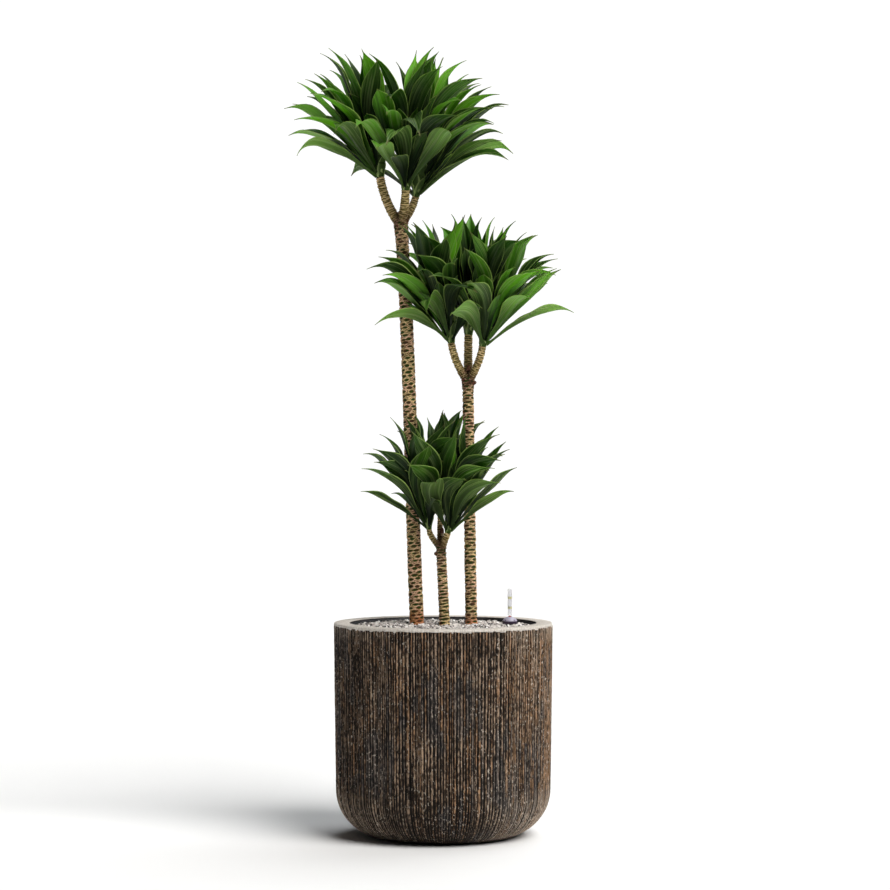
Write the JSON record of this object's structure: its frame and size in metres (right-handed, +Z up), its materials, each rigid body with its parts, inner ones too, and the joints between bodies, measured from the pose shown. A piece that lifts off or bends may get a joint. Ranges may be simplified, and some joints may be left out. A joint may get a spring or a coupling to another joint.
{
  "type": "potted dracaena",
  "caption": "Compact-leaved dracaena with bare forked canes and dense leafy heads, in a round ribbed planter topped with gravel, with a water-level gauge.",
  "frame": {"origin": "centre of the planter's flat base", "axes": "+Z up along the planter's axis, -Y towards the viewer, +X to the viewer's right, on the gauge's side"},
  "size_m": [0.5242, 0.4273, 1.403],
  "materials": {
    "planter": "rough cast stone fibre, ribbed, with a pale smooth rim",
    "liner": "moulded",
    "substrate": "expanded clay granules",
    "gravel": "washed gravel",
    "cane": "corky bark with leaf scars",
    "leaf": "glossy leaf",
    "gauge_pipe": "moulded",
    "gauge_tube": "clear",
    "gauge_float": "moulded"
  },
  "bodies": {
    "root": {"planter": "planter", "liner": "liner", "substrate": "substrate", "gravel": "gravel", "cane_tall": "cane", "cane_middle": "cane", "cane_short": "cane", "shoot_tall_left": "leaf", "shoot_tall_front": "leaf", "shoot_tall_right": "leaf", "shoot_middle_left": "leaf", "shoot_middle_back": "leaf", "shoot_middle_right": "leaf", "shoot_short_left": "leaf", "shoot_short_front": "leaf", "shoot_short_back": "leaf", "gauge_pipe": "gauge_pipe", "gauge_tube": "gauge_tube", "gauge_float": "gauge_float"}
  },
  "joints": []
}
